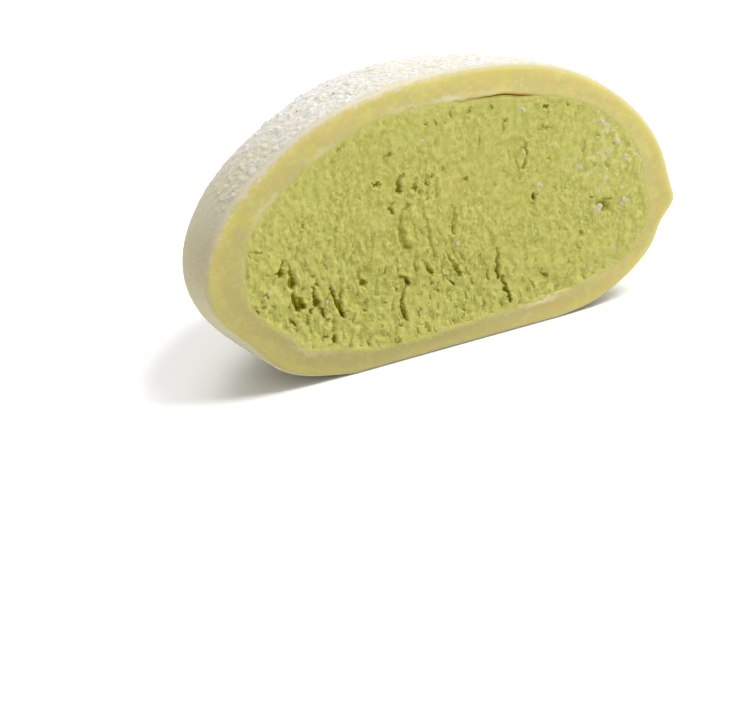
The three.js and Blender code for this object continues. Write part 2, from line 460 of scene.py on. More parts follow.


# %% [markdown]
# ## Dough
# Rice dough is smooth, a little shiny and lets light in, so its shader scatters light under the
# surface. On the cut the outer part of the ring is a clear yellow, where the dough dried, and the inner
# part is a little darker and greyer, where it took up moisture from the filling, with thin milky patches
# right next to it. All of it is painted darker towards the lower left and lighter towards the upper
# right, a painted shade and light after the lamp at the upper right. Its rounded outer edge is painted
# greyer and darker, a painted shade against the lamp's highlight there, and the crack has a painted
# shade that reaches onto the cut beside it. Starch veils the dome: a thin veil greys the dough evenly,
# and a thick one is white, with patches of painted shade. It spilled over the rim below the crown, and a
# hand rubbed it thin on the left flank. One material goes from cut to dome and from veil to white by
# numbers that the mesh carries. Each place starts with one colour and gets coats of others, as a painter
# would lay them.

# %% Colours of dough and starch
DOUGH_EDGE = srgb(202, 191, 110)  # outer part of the cut ring
DOUGH_MIDDLE = srgb(194, 182, 106)
DOUGH_CORE = srgb(190, 179, 113)  # inner part
DOUGH_FOOT = srgb(200, 188, 138)  # greyer under the filling
DOUGH_PALE = srgb(212, 203, 136)  # cloudy spots in the ring
DOUGH_WARM = srgb(206, 182, 108)  # warmer spots in it
DOUGH_YELLOW = srgb(210, 197, 90)  # yellower ones
# DOUGH_RIM is a painted shade: greyer and darker than the ring, against the lamp's highlight on the rounded
# edge.
DOUGH_RIM = srgb(182, 181, 157)  # its rounded outer edge
DOUGH_RIM_DUSTED = srgb(212, 201, 174)  # the same where starch from the crown fell on it
DOUGH_MILKY = srgb(214, 204, 160)  # patches next to the filling
DOUGH_STAIN = srgb(186, 181, 96)  # green that the filling left on it
DOUGH_SHADE = srgb(184, 138, 22)  # inside the crack
DOUGH_BARE = srgb(186, 174, 122)  # the dome where the starch is rubbed off
VEIL = srgb(194, 187, 154)  # the dome under a thin veil of starch
POWDER = srgb(191, 183, 150)  # and under a thicker one
STARCH = srgb(205, 202, 200)
STARCH_SHADE = srgb(178, 175, 162)  # hollows of the thick starch
RUBBED = (-19.0, 3.5, 22.0)  # a hand rubbed the starch thin here, measured from the middle of the cut
RUBBED_REACH = (1.0, 5.5)  # millimetres: thinnest within the first, and untouched beyond the second

# %% Dough material on the cut
dough, recipe, shader, place = new_material("rice_dough")
on_cut, across, crack, wall, milky, dust, clump = attributes(
    recipe, "cut", "across", "crack", "wall", "milky", "dust", "clump"
)
x, y, z = recipe.add("ShaderNodeSeparateXYZ", place).outputs
cloud = recipe.noise(place, 0.45, 3.0)
speckle = recipe.noise(place, 5.0, 3.0, 0.7)
spots = recipe.noise(place, 1.4, 3.0, 0.6)
tone = recipe.noise(place, 0.6, 2.0)

drift = recipe.total(across, recipe.swing(cloud, 0.8))
ring = recipe.coats(
    DOUGH_EDGE,
    (recipe.rise(drift, 0.0, 0.45), DOUGH_MIDDLE),
    (recipe.rise(drift, 0.4, 0.85), DOUGH_CORE),
    (recipe.rise(spots, 0.5, 0.68, 0.0, 0.4), DOUGH_PALE),
    (recipe.rise(tone, 0.47, 0.33, 0.0, 0.5), DOUGH_WARM),
    (recipe.rise(tone, 0.53, 0.67, 0.0, 0.4), DOUGH_YELLOW),
    (recipe.rise(z, 9.0, 0.0, 0.0, 0.15), DOUGH_FOOT),
)
# Painted light and shade: the ring is made lighter towards the upper right and darker towards the lower
# left, after the lamp at the upper right.
painted_light_falloff = recipe.math("MULTIPLY_ADD", z, 0.0085, recipe.math("MULTIPLY_ADD", x, 0.0032, 0.8))
towards_right = recipe.math("MAXIMUM", x, 0.0)
painted_light_falloff = recipe.total(painted_light_falloff, recipe.times(towards_right, recipe.rise(z, 9.0, 2.0, 0.0, 0.006)))

inwards = recipe.total(across, recipe.math("MULTIPLY_ADD", on_cut, 0.3, -0.3))
ragged = recipe.swing(recipe.noise(place, 1.1, 3.0, 0.6), 0.56)
dusted_rim = recipe.times(recipe.rise(z, 12.0, 17.0), recipe.rise(x, 8.0, -4.0))
spilled = recipe.times(recipe.rise(recipe.total(inwards, ragged), 0.04, -0.16), dusted_rim)
spill = recipe.mix(recipe.rise(speckle, 0.42, 0.6, 0.0, 0.7), DOUGH_RIM_DUSTED, STARCH)
by_filling = recipe.total(across, recipe.swing(spots, 0.36))
stain = recipe.rise(recipe.noise(place, 0.9, 3.0), 0.4, 0.6, 0.2, 0.85)
# The crack's painted shade, DOUGH_SHADE, reaches onto the cut beside the crack. It also colours the crack
# and the hidden wall.
beside_crack = recipe.times(recipe.rise(across, 0.93, 1.0, 0.0, 0.8), crack)
ring = recipe.coats(
    recipe.scaled(ring, painted_light_falloff),
    # The rounded outer edge: greyer and darker than the ring, a painted shade against the lamp's highlight
    # there.
    (recipe.rise(on_cut, 1.0, 0.7, 0.0, 0.9), DOUGH_RIM),
    (spilled, spill),
    (recipe.times(stain, recipe.rise(by_filling, 0.8, 1.0)), DOUGH_STAIN),
    (recipe.times(recipe.rise(by_filling, 0.7, 0.9), milky), DOUGH_MILKY),
    (recipe.rise(speckle, 0.45, 0.65, 0.0, 0.12), DOUGH_MILKY),
    (recipe.math("MAXIMUM", wall, beside_crack), DOUGH_SHADE),
)

# %% Dough material on the dome
grit = recipe.swing(speckle, 0.9)
rubbed_middle = Vector(FORM_PLACE + RUBBED)
from_rubbed = recipe.add("ShaderNodeVectorMath", place, rubbed_middle, operation="DISTANCE").outputs["Value"]
rubbed = recipe.rise(from_rubbed, *RUBBED_REACH, -0.15, 0.0)
thick = recipe.total(dust, recipe.times(grit, 0.8), recipe.math("MULTIPLY_ADD", clump, 0.2, -0.08), rubbed)
mottle = recipe.rise(recipe.noise(place, 2.4, 3.0, 0.7), 0.58, 0.34)
dome = recipe.coats(
    DOUGH_BARE,
    (recipe.rise(speckle, 0.4, 0.7, 0.0, 0.5), VEIL),
    (recipe.rise(recipe.total(dust, grit), 0.0, 0.3), VEIL),
    (recipe.rise(thick, 0.35, 0.65), POWDER),
    (recipe.rise(thick, 0.6, 1.1), STARCH),
    # Painted shade: patches laid by noise on the thick starch, for the shade in its hollows.
    (recipe.times(mottle, recipe.rise(dust, 0.15, 0.6, 0.0, 0.62)), STARCH_SHADE),
    (recipe.rise(speckle, 0.5, 0.68, 0.0, 0.4), STARCH),
)
behind = recipe.total(y, -FORM_PLACE[1], recipe.swing(cloud, 1.2))
near_cut = recipe.math("MAXIMUM", on_cut, recipe.rise(behind, 1.0, 0.1, 0.0, 0.35))
roughness = recipe.rise(dust, 0.0, 0.3, 0.5, 0.95)
paint(recipe, shader, recipe.mix(near_cut, dome, ring), roughness, 0.3)
soft_inside(recipe, shader, 0.4, (1.0, 0.75, 0.3), 1.3 * MM)
fine_bump(recipe, shader, speckle, 0.2, 0.05 * MM)

# %% [markdown]
# ## The dough's mesh
# The rings run from the pole at the back over the dome, round the soft outer edge, across the cut, a
# little way under the filling and back along the hidden wall to the inner pole. The line between dough
# and filling wanders. Dough and filling cross there at a shallow angle, so that their small relief breaks
# the line up, but under the crown the dough has let go and leaves a thin crack. Numbers go with each
# point: whether it lies on the cut, how far across the ring, whether on the hidden wall, how milky, and
# how far it has let go.

# %% Line between dough and filling
CRACK = (43.0, 51.0, 72.0, 84.0)  # degrees where the crack starts, is open, has narrowed and ends
CRACK_NARROWING = 0.7  # how much of it closes as it narrows
CRACK_WIDTH = 0.17
CRACK_UNDERCUT = 1.4  # how far its floor reaches under the dough, in widths
CRACK_DEPTHS = (0.16, 0.22)  # how deep its wall goes and its floor lies
LAP = 0.3  # dough and filling run under each other this far, apart from the crack
MILKY = [  # pale stretches along the filling: (degrees round it, reach in degrees, strength)
    (-47, 6, 1.0), (-62, 5, 0.3), (-29, 6, 0.2), (-150, 8, 0.3), (62, 7, 0.5), (80, 8, 0.9),
    (100, 9, 0.4), (137, 5, 0.45), (159, 6, 0.5),
]


def seam(angles):
    """How far the line between dough and filling wanders from its smooth course."""
    broad = 0.06 * np.sin(13 * angles + 1.0)
    ragged = 0.5 + 0.5 * np.sin(5 * angles + 2.0 * np.sin(2 * angles))
    first = np.sin(37 * angles + 6.0 * np.sin(4 * angles))
    second = np.sin(53 * angles + 9.0 * np.sin(3 * angles + 1.0))
    return broad + 0.04 * ragged * (first + second)


def lap(angles):
    """How far dough and filling run under each other, nothing where the crack is open."""
    return LAP * (1 - crack_share(angles)) ** 3


def crack_share(angles):
    """How far the dough has let go of the filling, between 0 and 1."""
    degrees = np.degrees((angles + math.pi) % (2 * math.pi) - math.pi)
    start, wide, narrow, end = CRACK
    share = smoothstep(degrees, start, wide) * (1 - CRACK_NARROWING * smoothstep(degrees, wide, narrow))
    return np.sqrt(share * (1 - smoothstep(degrees, narrow, end)))


def milky_share(angles):
    """How milky the dough is next to the filling, between 0 and 1."""
    share = np.zeros_like(angles)
    for about, spread, strength in MILKY:
        apart = (np.degrees(angles) - about + 180) % 360 - 180
        share = np.maximum(share, strength * bump(apart, spread))
    return share


# %% Dough mesh
DOME_RINGS = 190
LINING_RINGS = 16
RING_ROWS = 15
OUTER_EDGE = 0.45  # rounding of the outer edge of the cut


def dough_rings():
    """Rings of the dough with, for each, whether it is on the cut, how far across, and on the wall."""
    angles = ring_angles(DOME_RINGS * RING_STEP)
    dome = dome_rings(BODY, DOME_RINGS, short=OUTER_EDGE)
    rings = [(ring, 0.0, 0.0, 0.0) for ring in dome]
    for turn in np.radians([0, 30, 60]):
        inset, depth = OUTER_EDGE * (1 - np.cos(turn)), OUTER_EDGE * (1 - np.sin(turn))
        rings.append((cut_ring(BODY, angles, -inset, depth), math.sin(turn), 0.0, 0.0))
    outside = cut_ring(BODY, angles, -OUTER_EDGE, 0.0)
    inside = cut_ring(FILLING, angles, 0.05 + seam(angles), 0.0)
    lip = seam(angles) - lap(angles)
    for across in np.linspace(0, 1, RING_ROWS):
        row = outside * (1 - across) + inside * across
        uneven = 0.05 + 0.03 * np.sin(7 * angles + 3 * across) + 0.02 * np.sin(23 * angles - 5 * across)
        row[:, 1] = uneven * math.sin(math.pi * across)
        rings.append((row, 1.0, across, 0.0))
    rings.append((cut_ring(FILLING, angles, lip, 0.02 + 0.2 * lap(angles)), 1.0, 1.0, 0.0))
    floor = lip - CRACK_UNDERCUT * CRACK_WIDTH * crack_share(angles)
    for outwards, depth in zip((lip, floor), CRACK_DEPTHS):
        rings.append((cut_ring(FILLING, angles, outwards, depth), 1.0, 1.0, 1.0))
    rings += [(ring, 1.0, 1.0, 1.0) for ring in dome_rings(FILLING, LINING_RINGS)[::-1]]
    return rings


rings, *numbers = zip(*dough_rings())
cut, across, wall = [[np.full(len(ring), number) for ring, number in zip(rings, row)] for row in numbers]
milky = [milky_share(ring_angles(len(ring))) for ring in rings]
crack = [crack_share(ring_angles(len(ring))) for ring in rings]
dough_base = mesh_of_rings("dough_base", rings, cut=cut, across=across, wall=wall, milky=milky, crack=crack)

# %% [markdown]
# ## Starch on the dome
# A cook rolls mochi in starch so that it doesn't stick. It lies thick and clumpy on the crown, reaches
# lower at the back, thins to a veil down the flanks with rubbed streaks, and is pressed on again where
# the base sat in it. The tree turns the height into a covering between 0 and 1, breaks it up with noise
# and lifts the surface into broad mounds, clumps and powder. It stores the cover and the clumps for the
# material.

# %% Starch relief tree
CROWN = (15.8, 25.0)  # heights between which the starch thickens, in millimetres
FOOT = (0.5, 3.5)  # and between which it thins again, above the base
BACK = (7.0, 18.0)  # between these distances behind the cut it comes to reach lower ...
BACK_LOWER = 4.0  # ... by this much

recipe, given = new_tree(
    "starch_relief",
    **{
        "Clump size": 0.75 * MM,
        "Clump height": 0.16 * MM,
        "Powder size": 0.4 * MM,
        "Powder height": 0.07 * MM,
        "Mound size": 1.7 * MM,
        "Mound height": 0.26 * MM,
        "Patch size": 5.0 * MM,
    },
)
spot = recipe.add("GeometryNodeInputPosition").outputs[0]
_, behind, height = recipe.add("ShaderNodeSeparateXYZ", spot).outputs
on_dome = recipe.math("SUBTRACT", 1.0, named(recipe, "cut"))
cut_plane = FORM_PLACE[1] * MM
edge_plane = cut_plane + OUTER_EDGE * MM
off_cut = recipe.rise(behind, edge_plane, cut_plane + 1.2 * MM, 0.7, 1.0)
lift_share = recipe.rise(behind, edge_plane, cut_plane + 1.3 * MM)
lower = recipe.rise(behind, *[cut_plane + distance * MM for distance in BACK], 0.0, BACK_LOWER * MM)
crown = recipe.rise(recipe.math("ADD", height, lower), *[level * MM for level in CROWN], 0.3, 0.92)
foot = recipe.rise(height, *[level * MM for level in FOOT], 0.3, 0.0)
patches = recipe.noise(recipe.stretch(spot, (1.0, 1.0, 0.55)), recipe.per(given["Patch size"]), 4.0, 0.6)
clumps = recipe.rise(recipe.noise(spot, recipe.per(given["Clump size"]), 3.0, 0.6), 0.3, 0.76)
powder = recipe.rise(recipe.noise(spot, recipe.per(given["Powder size"]), 2.0, 0.6), 0.25, 0.75)
mounds = recipe.rise(recipe.noise(spot, recipe.per(given["Mound size"]), 2.0, 0.5), 0.55, 0.8)
cover = recipe.total(crown, foot, recipe.swing(patches, 0.68), recipe.swing(clumps, 0.2))
cover = recipe.times(recipe.rise(cover, 0.0, 1.05), on_dome, off_cut)
lift = recipe.total(
    recipe.times(clumps, given["Clump height"]),
    recipe.times(powder, given["Powder height"]),
    recipe.times(mounds, given["Mound height"]),
)
lift = recipe.times(lift, cover, cover, lift_share, recipe.rise(height, 0.3 * MM, 2.5 * MM))
normal = recipe.add("GeometryNodeInputNormal").outputs[0]
stored = keep(recipe, given["Geometry"], "dust", cover)
stored = keep(recipe, stored, "clump", clumps)
lifted = move(recipe, stored, recipe.scaled(normal, lift))
finish_tree(recipe, lifted, dough)

dusted_dough = grow("dusted_dough", dough_base, recipe)
bpy.data.objects.remove(dough_base)
hand_over(dusted_dough, replaced="mochi_skin")

# %% [markdown]
# ## Loose grains
# Close up, starch is grains and little lumps that stand off the dough and make its outline fuzzy. A
# relief can't overhang, so real grains are scattered over the dome: many small ones and some lumps, more
# where the cover is thick. Each is a small ball, squashed, turned and dented at random. The same tree
# later strews crumbs on the cut.

# %% Starch grain material
starch, recipe, shader, place = new_material("starch_powder")
grain_colour = recipe.mix(recipe.noise(place, 2.5, 2.0), srgb(203, 199, 188), srgb(215, 212, 207))
paint(recipe, shader, grain_colour, 0.95, 0.2)

# %% Scatter tree
CLEAR = 0.5  # grains stay this far above the base, in millimetres
MANY_SMALL = 2.5  # a higher power makes large grains rarer
SUNK = 0.2  # how deep a grain sits in the surface, in its own sizes
SQUASH = ((0.55, 0.55, 0.45), (1.0, 1.0, 0.9))  # the flattest and the roundest grain
FULL_TURN = (6.28, 6.28, 6.28)  # radians
DENT = 0.08  # millimetres, to either side
DENTS_PER_MM = 3.5


def scatter_tree(name, attribute_name, material, subdivisions=1):
    """Scatters squashed little balls over a mesh, thick where the named attribute is high."""
    recipe, given = new_tree(
        name,
        **{"Per square mm": 1.0, "Smallest": 0.1 * MM, "Largest": 0.3 * MM, "Threshold": 0.5, "Seed": 1},
    )
    mask = recipe.math("SUBTRACT", named(recipe, attribute_name), given["Threshold"])
    share = recipe.math("DIVIDE", mask, recipe.math("SUBTRACT", 1.0, given["Threshold"]))
    per_metre = recipe.times(given["Per square mm"], 1 / (MM * MM))
    spot = recipe.add("GeometryNodeInputPosition").outputs[0]
    clear = recipe.math("GREATER_THAN", recipe.add("ShaderNodeSeparateXYZ", spot).outputs[2], CLEAR * MM)
    points = recipe.wire(
        recipe.add("GeometryNodeDistributePointsOnFaces", distribute_method="RANDOM"),
        Mesh=given["Geometry"],
        Density=recipe.times(recipe.math("MAXIMUM", share, 0.0), per_metre, clear),
        Seed=given["Seed"],
    )
    chance = recipe.add("FunctionNodeRandomValue", None, None, 0.0, 1.0, data_type="FLOAT").outputs[1]
    span = recipe.math("SUBTRACT", given["Largest"], given["Smallest"])
    bias = recipe.math("POWER", chance, MANY_SMALL)
    diameter = recipe.math("MULTIPLY_ADD", bias, span, given["Smallest"])
    sunk = recipe.scaled(points["Normal"], recipe.times(diameter, -SUNK))
    grains = recipe.wire(
        recipe.add("GeometryNodeInstanceOnPoints"),
        Points=move(recipe, points["Points"], sunk),
        Instance=recipe.add("GeometryNodeMeshIcoSphere", 0.5, subdivisions).outputs[0],
        Rotation=recipe.random_vector((0.0, 0.0, 0.0), FULL_TURN, 11),
        Scale=recipe.scaled(recipe.random_vector(*SQUASH, 7), diameter),
    )
    real = recipe.add("GeometryNodeRealizeInstances", grains[0]).outputs[0]
    where = recipe.add("GeometryNodeInputPosition").outputs[0]
    dented = move(recipe, real, recipe.drift(where, DENTS_PER_MM / MM, DENT * MM))
    finish_tree(recipe, dented, material)
    return recipe


# %% Starch grains
small_grains = scatter_tree("starch_scatter", "dust", starch)
large_grains = scatter_tree("starch_lump_scatter", "dust", starch, subdivisions=2)
fine = {"Per square mm": 3.0, "Smallest": 0.07 * MM, "Largest": 0.15 * MM, "Threshold": 0.25, "Seed": 3}
crowned = {"Per square mm": 5.0, "Smallest": 0.09 * MM, "Largest": 0.24 * MM, "Threshold": 0.5, "Seed": 5}
lumpy = {"Per square mm": 0.8, "Smallest": 0.2 * MM, "Largest": 0.6 * MM, "Threshold": 0.6, "Seed": 8}
for name, tree, inputs in (
    ("starch_grains", small_grains, fine),
    ("starch_crown_grains", small_grains, crowned),
    ("starch_lumps", large_grains, lumpy),
):
    hand_over(grow(name, dusted_dough, tree, **inputs))

# %% [markdown]
# ## Filling material
# The filling is dense and matt, the green of powdered tea. Its tears are painted darker and more golden,
# a painted shade of the light that bounces from wall to wall in them, and so is its edge along the
# crack. The ridges between the combed furrows are painted paler, a painted highlight, the lower part is
# painted lighter against the shade of its torn relief, and the left edge is lighter too. It is mottled
# all over.

# %% Filling material
TEA_MID = srgb(181, 178, 93)
TEA_LIGHT = srgb(201, 198, 114)
TEA_DARK = srgb(154, 150, 62)
# TEA_DEEP is the painted shade of the tears and of the crack.
TEA_DEEP = srgb(138, 129, 12)
TEA_PALE = srgb(208, 203, 152)
TEA_GREEN = srgb(170, 178, 84)
TEA_BROWN = srgb(190, 170, 92)
TEA_SEAM = srgb(194, 186, 110)  # where dough and filling run into each other


def tea_paste(name):
    """The material of the filling and of its crumbs."""
    material, recipe, shader, place = new_material(name)
    hollow, crumb, edge, rough, crack = attributes(recipe, "hollow", "crumb", "edge", "rough", "crack")
    x, _, z = recipe.add("ShaderNodeSeparateXYZ", place).outputs
    mottle = recipe.noise(place, 1.3, 4.0, 0.7)
    tint = recipe.noise(place, 0.8, 2.0)
    fine = recipe.noise(recipe.stretch(place, (1.0, 1.0, 0.6)), 4.0, 3.0, 0.6)
    fine_share = recipe.rise(rough, 0.1, 0.9, 0.12, 0.7)
    dusty = recipe.times(recipe.rise(x, 8.0, 20.0), recipe.rise(z, 8.0, 15.0, 0.5, 1.0))
    fleck = recipe.math("MULTIPLY_ADD", dusty, 0.08, recipe.noise(place, 1.5, 2.0))
    fleck_share = recipe.math("MULTIPLY_ADD", dusty, 0.45, 0.15)
    soft_edge = recipe.rise(recipe.noise(place, 1.2, 3.0), 0.35, 0.6, 0.15, 0.8)
    colour = recipe.coats(
        TEA_MID,
        (0.6, recipe.mix(recipe.rise(mottle, 0.3, 0.7), TEA_DARK, TEA_LIGHT)),
        (recipe.rise(tint, 0.52, 0.7, 0.0, 0.35), TEA_GREEN),
        (recipe.rise(tint, 0.46, 0.3, 0.0, 0.3), TEA_BROWN),
        (recipe.times(recipe.rise(fine, 0.5, 0.7), fine_share), TEA_LIGHT),
        (recipe.times(recipe.rise(fine, 0.5, 0.3), fine_share), TEA_DARK),
        # Painted highlight: paler on the ridges between the combed furrows, which stand out.
        (recipe.times(recipe.rise(crumb, 0.4, 1.0), 0.35), TEA_LIGHT),
        # Painted light: lighter towards the bottom, against the shade of the torn relief there. Also lighter
        # towards the left edge.
        (recipe.rise(z, 9.0, 3.0, 0.0, 0.3), TEA_LIGHT),
        (recipe.rise(x, -11.0, -19.0, 0.0, 0.2), TEA_LIGHT),
        (recipe.times(recipe.rise(fleck, 0.58, 0.76), fleck_share), TEA_PALE),
        # Painted shade in the tears: darker and more golden, after the light that bounces between their
        # walls.
        (recipe.rise(hollow, 0.03, 0.4), TEA_DEEP),
        (recipe.times(edge, soft_edge), TEA_SEAM),
        # Painted shade of the crack along the filling's edge.
        (recipe.times(crack, 0.7), TEA_DEEP),
    )
    paint(recipe, shader, colour, 0.85, 0.25)
    soft_inside(recipe, shader, 0.25, (1.0, 0.9, 0.3), 0.4 * MM)
    fine_bump(recipe, shader, fine, 0.4, 0.08 * MM)
    return material


filling = tea_paste("green_tea_filling")

# %% [markdown]
# ## The torn face
# The knife dragged down through the filling: it smeared the upper part and tore the lower left. The deep
# tears are listed in the plane of the cut, in millimetres. Each is a stroke that the blade left:
# its width and depth, and then its points (x, z) from its start to its end. It starts narrow and shallow,
# and ends wide and deep where the paste let go. A longer one is more even, and crumbs fill up the shallow
# ones. A dent is a stroke of a fifth of a millimetre, straight down. Over a thousand small pits follow an
# even but irregular sequence and grow deeper towards the torn corner.

